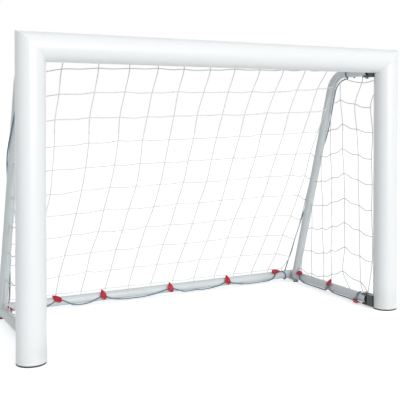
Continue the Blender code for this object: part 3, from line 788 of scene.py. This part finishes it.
class GOAL_OT_side_frames(bpy.types.Operator):
    """Make the stays and base tubes with their plugs and welds"""

    bl_idname = "goal.side_frames"
    bl_label = "Side frames"

    def execute(self, context):
        sides = context.scene.goal_sizes.tube_sides
        for side, name in SIDES:
            path = stay_path(side * SIDE_X)
            body = f"{name}_side_frame"
            stay = self.coped_stay(path, sides)
            stay.piece(f"{name}_stay_tube", "side_coat", body, "side_white", f"{name}_stay")
            ends = [Vector((side * SIDE_X, end.y, BASE_Z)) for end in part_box(f"{name}_base_tube")]
            base = tube_skin(ends, (1, 0, 0), TUBE_R, TUBE_WALL, sides)
            base.piece(f"{name}_ground_tube", "side_coat", body, "side_white", f"{name}_base_tube")
            self.foot_weld(path, name, body)
            for plug in ("stay_plug", "base_front_plug", "base_rear_plug"):
                recoat(f"{name}_{plug}", "black_plastic", 0.0005)
        return {"FINISHED"}

    def seated(self, ring, path, reach, rise=0.0):
        """The ring slid along the stay's slope until it stands on a round of this reach at the base tube."""
        fall = (path[-1] - path[-2]).normalized()
        made = []
        for point in ring:
            across = min(abs(point.x - path[-1].x), TUBE_R)
            seat = BASE_Z + math.sqrt(reach**2 - across**2) + rise
            made.append(point + fall * ((seat - point.z) / fall.z))
        return made

    def coped_stay(self, path, sides):
        """The stay, its foot shaped to the base tube under it."""
        rings = []
        for radius, order in ((TUBE_R, 1), (TUBE_R - TUBE_WALL, -1)):
            made = path_rings(path, (1, 0, 0), radius, sides)
            made[-1] = self.seated(made[-1], path, TUBE_R + GAP, GAP)
            rings += made[::order]
        skin = Skin()
        skin.loft(rings, ring_shaped=True)
        return skin

    def foot_weld(self, path, name, body):
        """A weld bead where the stay stands on the base tube."""
        off_stay, off_tube = BEAD_OFF
        seam = path_rings(path, (1, 0, 0), TUBE_R + off_stay, 96)[-1]
        line = bead(self.seated(seam, path, TUBE_R + off_tube),
                    lambda k: FOOT_BEAD + FOOT_RIPPLE * math.cos(2 * math.pi * k / 4), 8,
                    lambda point, ahead: Vector((0, 0, 1)).cross(ahead))
        line.piece(f"{name}_foot_weld", "side_coat", body, "side_white")


class GOAL_OT_rear_tube(bpy.types.Operator):
    """Make the rear ground tube with its corner lugs and glides"""

    bl_idname = "goal.rear_tube"
    bl_label = "Rear ground tube"

    def execute(self, context):
        ends = [Vector((end.x, REAR_Y, BASE_Z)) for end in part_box("rear_ground_tube")]
        tube = tube_skin(ends, (0, 1, 0), TUBE_R, TUBE_WALL, context.scene.goal_sizes.tube_sides)
        tube.piece("rear_tube_coat", "side_coat", "rear_bar", "side_white", "rear_ground_tube")
        for _, name in SIDES:
            for part, coat, soft in (
                    ("bar_plug", "black_plastic", 0.0005), ("corner_lug", "side_coat", 0.001),
                    ("glide", "black_plastic", 0.001), ("corner_bolt", "zinc_plate", 0.0006),
                    ("corner_nut", "zinc_plate", 0.0006)):
                recoat(f"{name}_{part}", coat, soft)
        return {"FINISHED"}


def clip_skin(centre, axis_point, along, tilt):
    """A moulded drop: narrow at its top, wide at its foot, with an eye there for the rope."""
    normal = (centre - axis_point).normalized()
    along = Vector(along)
    across = normal.cross(along)
    turn = math.radians(tilt)
    long_axis = across * math.cos(turn) + along * math.sin(turn)
    wide_axis = along * math.cos(turn) - across * math.sin(turn)
    if long_axis.z < 0:
        long_axis, wide_axis = -long_axis, -wide_axis
    eye_place, eye_wide, eye_long = CLIP_EYE
    outline = CLIP_PROFILE + ((1.0, 0.0),) + tuple((share, -thick) for share, thick in CLIP_PROFILE[::-1])
    rings = []
    steps = 48
    for k in range(steps):
        t = 2 * math.pi * k / steps
        wide = CLIP_HALF_WIDE * (1 - CLIP_TAPER * math.sin(t))
        rim = long_axis * (CLIP_HALF_LONG * math.sin(t)) + wide_axis * (wide * math.cos(t))
        eye = long_axis * (eye_place + eye_long * math.sin(t)) + wide_axis * (eye_wide * math.cos(t))
        rings.append([centre + eye.lerp(rim, share) + normal * (CLIP_WIRE * thick)
                      for share, thick in outline])
    skin = Skin()
    skin.loft(rings, ring_shaped=True)
    return skin


class GOAL_OT_clips(bpy.types.Operator):
    """Make the red net clips"""

    bl_idname = "goal.clips"
    bl_label = "Net clips"

    def execute(self, context):
        for k, (along, degrees, tilt) in enumerate(REAR_CLIPS):
            skin = clip_skin(tube_point(along, degrees, CLIP_OUT), tube_point(along, 0, 0), (1, 0, 0), tilt)
            skin.piece(f"rear_link_{k + 1}", "red_plastic", "rear_bar", "red_clip", f"rear_clip_{k + 1}")
        for side, name in SIDES:
            x = side * SIDE_X
            for k, (along, degrees, tilt) in enumerate(SIDE_CLIPS):
                skin = clip_skin(tube_point(along, degrees, CLIP_OUT, x), tube_point(along, 0, 0, x),
                                 (0, 1, 0), tilt)
                skin.piece(f"{name}_link_{k + 1}", "red_plastic", f"{name}_side_frame", "red_clip",
                           f"{name}_clip_{k + 1}")
        return {"FINISHED"}


class GOAL_OT_lacing(bpy.types.Operator):
    """Make the laid ropes that lace the net to the ground tubes and stays"""

    bl_idname = "goal.lacing"
    bl_label = "Lacing"

    def execute(self, context):
        self.pitch = context.scene.goal_sizes.rope_pitch
        rear = Skin()
        self.rope(rear, self.round_tube(REAR_ROUTE))
        self.finished(rear, "rear_rope", "rear_bar", "rear_lacing")
        for side, name in SIDES:
            x = side * SIDE_X
            skin = Skin()
            self.rope(skin, self.round_tube(SIDE_ROUTE, x))
            for tail in CLIP_TAILS:
                self.rope(skin, self.round_tube(tail, x), knotted=False)
            self.rope(skin, self.round_stay(STAY_ROUTE, side))
            self.finished(skin, f"{name}_rope", f"{name}_side_frame", f"{name}_lacing")
        return {"FINISHED"}

    def round_tube(self, route, side_x=None):
        return [tube_point(along, degrees, LACE_OUT + max(off, 0) * LACE_SNUG, side_x)
                for along, degrees, off in catmull(route, 16)]

    def round_stay(self, route, side):
        """Points of a rope up the stay: share of its length from the foot, degrees round it, stand-off."""
        upward = stay_path(side * SIDE_X)[::-1]
        made = []
        for share, degrees, off in catmull(route, 16):
            turn = math.radians(degrees)
            on_axis = at_share(upward, share)
            ahead = (at_share(upward, share + STAY_AHEAD) - on_axis).normalized()
            under = Vector((0, -ahead.z, ahead.y))
            out = Vector((-side * math.cos(turn), 0, 0)) - under * math.sin(turn)
            made.append(on_axis + out * (LACE_OUT + off))
        return made

    def rope(self, skin, route, knotted=True):
        """One rope, with a knot at each end unless it is a tail."""
        points = evenly(route, self.pitch / ROPE_POINTS)
        laid_rope(skin, points, ROPE_R, self.pitch)
        if knotted:
            for end, inside in ((points[0], points[2]), (points[-1], points[-3])):
                ahead = (end - inside).normalized()
                side = ahead.orthogonal().normalized()
                slim = [axis * ROPE_KNOT * ROPE_KNOT_SLIM for axis in (side, ahead.cross(side))]
                skin.blob(end, (ahead * ROPE_KNOT, *slim), 12)

    def finished(self, skin, name, body, node):
        skin.piece(name, "lacing_rope", body, "lacing_rope", node, smooth=60)


class NetSkin(Skin):
    """A skin of knotted twine."""

    def __init__(self, sizes, seed):
        super().__init__()
        self.sizes = sizes
        self.chance = random.Random(seed)

    def twine(self, points):
        strand(self, catmull(points, 6), self.sizes.twine_radius)

    def row(self, knots, slack):
        """A strand from knot to knot that hangs a little between them."""
        points = [knots[0]]
        for a, b in zip(knots, knots[1:]):
            low = a.lerp(b, 0.5 + self.chance.uniform(-LOW_STRAY, LOW_STRAY))
            low.z -= slack * self.chance.uniform(*HANG_SHARES)
            points += [low, b]
        self.twine(points)

    def stray(self, point, share=(1, 1, 1)):
        """The point moved a little off the plain grid."""
        wave = self.sizes.net_wave
        return point + Vector([self.chance.uniform(-wave, wave) * part for part in share])

    def knot(self, point, along=Vector((0, 1, 0)), drop=Vector((0, 0, -1))):
        """A knot where a row goes along and a column drops."""
        size = self.sizes.knot_radius
        between, across, outward = KNOT_SHAPE
        face = along.cross(drop).normalized()
        self.blob(point, ((along + drop) * size * between, (along - drop) * size * across,
                          face * size * outward))


def back_edge():
    """The back net's edge, seen from the side: from the head line over the stay's back to the rear tube."""
    path = stay_path(0)
    line = [Vector((0, HEAD_Y, HEAD_Z))]
    for k in range(1, len(path) - 1):
        ahead = (path[k + 1] - path[k - 1]).normalized()
        line.append(path[k] + Vector((0, -ahead.z, ahead.y)) * (EDGE_OUT * math.sin(EDGE_TURN)))
    fall = (path[-1] - path[-2]).normalized()
    line.append(line[-1] + fall * ((NET_CORNER_Z - line[-1].z) / fall.z))
    line.append(Vector((0, REAR_Y, NET_FOOT_Z)))
    return line


def back_place(u, v, edge_line):
    """The back net: hung from crossbar to ground tube, and along the stays at its sides."""
    share = 2 * u - 1
    side = 0 if share < 0 else 1
    row = v * BACK_CELLS[1]
    head = (row * math.exp(1 - row)) ** 2
    drift = (ROW_DRIFT[0] * (1 - u) + ROW_DRIFT[1] * u) * min(row, 1) + HEAD_DRIFT * u * head
    drift += MID_DRIFT * (1 - u) * math.sin(math.pi * v**1.15) ** 3
    pull = FOOT_PULL * max(share, 0) ** 4 * v**3
    slip = RIGHT_SLIP * math.sin(math.pi * v**0.5) if side else LEFT_SLIP * math.sin(math.pi * v**1.5)
    v = max(v - slip * share, 0)
    point = Vector((0, HEAD_Y, HEAD_Z)).lerp(Vector((0, REAR_Y, NET_FOOT_Z)), v)
    point.y -= BACK_SAG * math.sin(math.pi * v)
    point.z += BACK_RISE * math.sin(math.pi * v**ROW_EASE)
    edge = at_share(edge_line, v + EDGE_LAG[side] * v ** EDGE_EASE[side] * (1 - v))
    point = point.lerp(edge, abs(share) ** EDGE_POWER[side])
    point.x = share * NET_EDGE_X + drift * (1 - share**6) - pull
    return point


class GOAL_OT_back_net(bpy.types.Operator):
    """Make the back net and let its foot follow the rear tube"""

    bl_idname = "goal.back_net"
    bl_label = "Back net"

    def execute(self, context):
        sizes = context.scene.goal_sizes
        across, down = BACK_CELLS
        skin = NetSkin(sizes, 5)
        edge_line = back_edge()
        knots = []
        for i in range(across + 1):
            column = [back_place(i / across, j / down, edge_line) for j in range(down + 1)]
            if 0 < i < across:
                column[1:-1] = [skin.stray(point) for point in column[1:-1]]
            knots.append(column)
            skin.twine(column)
            skin.twine([column[-1], column[-1] - Vector((0, 0, CORD_RISE))])
        for j in range(down + 1):
            skin.row([column[j] for column in knots], sizes.back_slack if j else 0)
        for i in range(across + 1):
            for j in range(down + 1):
                along = (knots[min(i + 1, across)][j] - knots[max(i - 1, 0)][j]).normalized()
                drop = (knots[i][min(j + 1, down)] - knots[i][max(j - 1, 0)]).normalized()
                skin.knot(knots[i][j], along, drop)
        net = skin.piece("back_mesh", "net_twine", "goal_frame", "net_twine", "back_net", smooth=70)
        self.follow_rear_tube(net)
        return {"FINISHED"}

    def follow_rear_tube(self, net):
        """The rear tube only slides as the goal folds, and each knot goes a share of its way."""
        shares = net.vertex_groups.new(name="rear share")
        for vertex in net.data.vertices:
            share = (vertex.co.y - HINGE_Y) / (REAR_PIN_Y - HINGE_Y)
            shares.add([vertex.index], min(max(share, 0.0), 1.0), "REPLACE")
        pull = net.modifiers.new("fold", "HOOK")
        pull.object = frame["bodies"]["rear_bar"]
        pull.vertex_group = shares.name


class GOAL_OT_side_nets(bpy.types.Operator):
    """Make the nets in the side frames"""

    bl_idname = "goal.side_nets"
    bl_label = "Side nets"

    def execute(self, context):
        self.slack = context.scene.goal_sizes.side_slack
        for side, name in SIDES:
            self.x = side * SIDE_X
            skin = NetSkin(context.scene.goal_sizes, 11 + side)
            self.columns_and_rows(skin)
            skin.piece(f"{name}_side_mesh", "net_twine", f"{name}_side_frame", "net_twine", f"{name}_net",
                       smooth=70)
        return {"FINISHED"}

    def at(self, y, z):
        return Vector((self.x, FRONT_Y + y, z))

    def reach(self, z):
        """How far behind the front frame the net goes here: to the stay, or to the rope across its bend."""
        path = stay_path(0)
        fall = (path[-1] - path[-2]).normalized()
        under = Vector((0, fall.z, -fall.y)) * (TUBE_R + 0.0015)
        bend = path[1] - Vector((0, 0, LACE_OUT))
        line = [bend, path[-2] + under, path[-1] + under]
        for a, b in zip(line, line[1:]):
            if z >= b.z:
                return a.lerp(b, (a.z - z) / (a.z - b.z)).y - FRONT_Y
        return line[-1].y - FRONT_Y

    def column_place(self, places, z):
        """A column's distance behind the front frame, on a curve through its three places."""
        low, mid, high = COLUMN_HEIGHTS
        return (places[0] * (z - mid) * (z - high) / ((low - mid) * (low - high))
                + places[1] * (z - low) * (z - high) / ((mid - low) * (mid - high))
                + places[2] * (z - low) * (z - mid) / ((high - low) * (high - mid)))

    def columns_and_rows(self, skin):
        tube_top = BASE_Z + TUBE_R
        rows = [[] for _ in range(SIDE_ROWS)]
        for index, (foot, mid, high, rise) in enumerate(SIDE_COLUMNS):
            knots = []
            for k in range(SIDE_ROWS):
                z = SIDE_ROW_LOW + k * SIDE_ROW_STEP + rise
                y = self.column_place((foot, mid, high), z)
                if y < self.reach(z) - KNOT_CLEAR and (index or k):
                    knots.append(skin.stray(self.at(y, z), KNOT_STRAY))
                    rows[k].append(knots[-1])
            tie = self.at(FOOT_TIES[index], tube_top)
            skin.twine([tie, *knots, *self.head_of(index, (foot, mid, high), knots[-1].z)])
            for point in knots:
                skin.knot(point)
        for row in rows:
            end_z = row[-1].z + skin.chance.uniform(*ROW_END_STRAY)
            end = self.at(self.reach(end_z), end_z)
            skin.row([*row, end], self.slack)
            skin.knot(end)
        low = rows[0][0]
        skin.twine([low, low + LOW_LOOP, self.at(FOOT_TIES[0], tube_top + LOW_TIE_RISE)])
        top = self.at(*SIDE_TOP_KNOT)
        under = STAY_TOP_Z - LACE_OUT
        skin.row([self.at(POST_TIE_Y, POST_TIES[1]), top, self.at(self.reach(under), under)], self.slack / 2)
        skin.knot(top)

    def head_of(self, index, places, last_z):
        """Where a column goes above its highest knot."""
        if index == 0:
            return [self.at(POST_TIE_Y, POST_TIES[0])]
        if index == 1:
            return [self.at(*SIDE_TOP_KNOT), self.at(SIDE_TOP_HOLD, STAY_TOP_Z - TUBE_R)]
        z = last_z
        while z < STAY_TOP_Z - LACE_OUT and self.column_place(places, z) < self.reach(z):
            z += HEAD_STEP
        return [self.at(self.reach(z), z)]


class GOAL_OT_net_hooks(bpy.types.Operator):
    """Give the hooks behind the crossbar their finish"""

    bl_idname = "goal.net_hooks"
    bl_label = "Net hooks"

    def execute(self, context):
        for name in frame["nodes"]:
            if name.startswith("net_hook"):
                recoat(name, "white_plastic")
        return {"FINISHED"}


class GOAL_OT_stage(bpy.types.Operator):
    """Make the floor, the light and the camera"""

    bl_idname = "goal.stage"
    bl_label = "Stage"

    def execute(self, context):
        scene = context.scene
        light = scene.goal_stage
        self.floor(light.floor_glow)
        self.world(scene, light.sky)
        self.sun("key", light.key, *KEY_LAMP)
        self.sun("top", light.fill, *TOP_LAMP)
        self.camera(scene)
        scene.view_settings.view_transform = "Standard"
        return {"FINISHED"}

    def floor(self, glow):
        """A plain pale floor, whiter for the camera, that keeps the shadow."""
        mesh = bpy.data.meshes.new("floor")
        corners = [(x * FLOOR_HALF, y * FLOOR_HALF, 0) for x, y in ((-1, -1), (1, -1), (1, 1), (-1, 1))]
        mesh.from_pydata(corners, [], [(0, 1, 2, 3)])
        floor = placed("floor", mesh)
        made, tree, shader = shader_of("pale_floor")
        glowing = mixed(tree, self.seen_white(tree), (0, 0, 0, 1), (1, 1, 1, 1))
        fill(tree, shader, {"Base Color": (0.9, 0.9, 0.9, 1), "Roughness": 0.9, "Specular IOR Level": 0.1,
                            "Emission Color": glowing, "Emission Strength": glow})
        mesh.materials.append(made)

    def seen_white(self, tree):
        """1 for what the camera, a reflection or a clear body sees."""
        rays = add_node(tree, "ShaderNodeLightPath").outputs
        first = maths(tree, "MAXIMUM", rays["Is Camera Ray"], rays["Is Glossy Ray"])
        return maths(tree, "MAXIMUM", first, rays["Is Transmission Ray"])

    def world(self, scene, sky):
        """Even light for the goal, and plain white behind it."""
        world = bpy.data.worlds.new("studio")
        world.use_nodes = True
        scene.world = world
        tree = world.node_tree
        tree.nodes.clear()
        lit = add_node(tree, "ShaderNodeBackground", {"Color": (0.95, 0.98, 1.0, 1), "Strength": sky})
        white = add_node(tree, "ShaderNodeBackground", {"Color": (1, 1, 1, 1), "Strength": 1.0})
        mix = add_node(tree, "ShaderNodeMixShader", {0: self.seen_white(tree), 1: lit.outputs[0],
                                                     2: white.outputs[0]})
        add_node(tree, "ShaderNodeOutputWorld", {"Surface": mix.outputs[0]})

    def sun(self, name, strength, towards, spread):
        """A soft lamp that shines from this direction."""
        lamp = bpy.data.lights.new(name, "SUN")
        lamp.energy = strength
        lamp.angle = math.radians(spread)
        placed(name, lamp).rotation_euler = Vector(towards).to_track_quat("Z", "Y").to_euler()

    def camera(self, scene):
        """The photograph's view, from left of the goal."""
        ahead = Vector((math.sin(CAMERA_YAW) * math.cos(CAMERA_PITCH),
                        math.cos(CAMERA_YAW) * math.cos(CAMERA_PITCH), math.sin(CAMERA_PITCH)))
        right = Vector((math.cos(CAMERA_YAW), -math.sin(CAMERA_YAW), 0))
        up = right.cross(ahead)
        tilted = right * math.cos(CAMERA_ROLL) + up * math.sin(CAMERA_ROLL)
        upright = up * math.cos(CAMERA_ROLL) - right * math.sin(CAMERA_ROLL)
        lens = bpy.data.cameras.new("camera")
        lens.sensor_width = SENSOR_MM
        lens.lens = FOCAL_PX * SENSOR_MM / IMAGE_PX
        lens.shift_x = (IMAGE_PX / 2 - CENTRE_PX[0]) / IMAGE_PX
        lens.shift_y = (CENTRE_PX[1] - IMAGE_PX / 2) / IMAGE_PX
        lens.clip_end = 100
        camera = placed("camera", lens)
        turned = Matrix((tilted, upright, -ahead)).transposed()
        camera.matrix_world = Matrix.Translation(CAMERA_PLACE) @ turned.to_4x4()
        scene.camera = camera


class GOAL_PT_panel(bpy.types.Panel):
    """The goal's sizes, colours and pieces"""

    bl_idname = "GOAL_PT_panel"
    bl_label = "Folding soccer goal"
    bl_space_type = "VIEW_3D"
    bl_region_type = "UI"
    bl_category = "Goal"

    def draw(self, context):
        for group in ("goal_finishes", "goal_sizes", "goal_stage"):
            box = self.layout.box()
            values = getattr(context.scene, group)
            for name in values.__annotations__:
                box.prop(values, name)
        for operator in OPERATORS:
            self.layout.operator(operator.bl_idname)


OPERATORS = (GOAL_OT_stage, GOAL_OT_materials, GOAL_OT_lacing, GOAL_OT_front_frame, GOAL_OT_hinges,
             GOAL_OT_side_frames, GOAL_OT_rear_tube, GOAL_OT_clips, GOAL_OT_back_net, GOAL_OT_side_nets,
             GOAL_OT_net_hooks)
GROUPS = (("goal_finishes", GoalFinishes), ("goal_sizes", GoalSizes), ("goal_stage", GoalStage))


def register():
    for _, group in GROUPS:
        bpy.utils.register_class(group)
    for operator in OPERATORS:
        bpy.utils.register_class(operator)
    bpy.utils.register_class(GOAL_PT_panel)
    for name, group in GROUPS:
        setattr(bpy.types.Scene, name, PointerProperty(type=group))


def unregister():
    for name, _ in GROUPS:
        delattr(bpy.types.Scene, name)
    bpy.utils.unregister_class(GOAL_PT_panel)
    for operator in reversed(OPERATORS):
        bpy.utils.unregister_class(operator)
    for _, group in reversed(GROUPS):
        bpy.utils.unregister_class(group)


def main():
    register()
    bpy.ops.goal.stage()
    bpy.ops.goal.materials()
    bpy.ops.goal.lacing()
    bpy.ops.goal.front_frame()
    bpy.ops.goal.hinges()
    bpy.ops.goal.side_frames()
    bpy.ops.goal.rear_tube()
    bpy.ops.goal.clips()
    bpy.ops.goal.back_net()
    bpy.ops.goal.side_nets()
    bpy.ops.goal.net_hooks()
    bpy.context.view_layer.update()


if __name__ == "__main__":
    main()
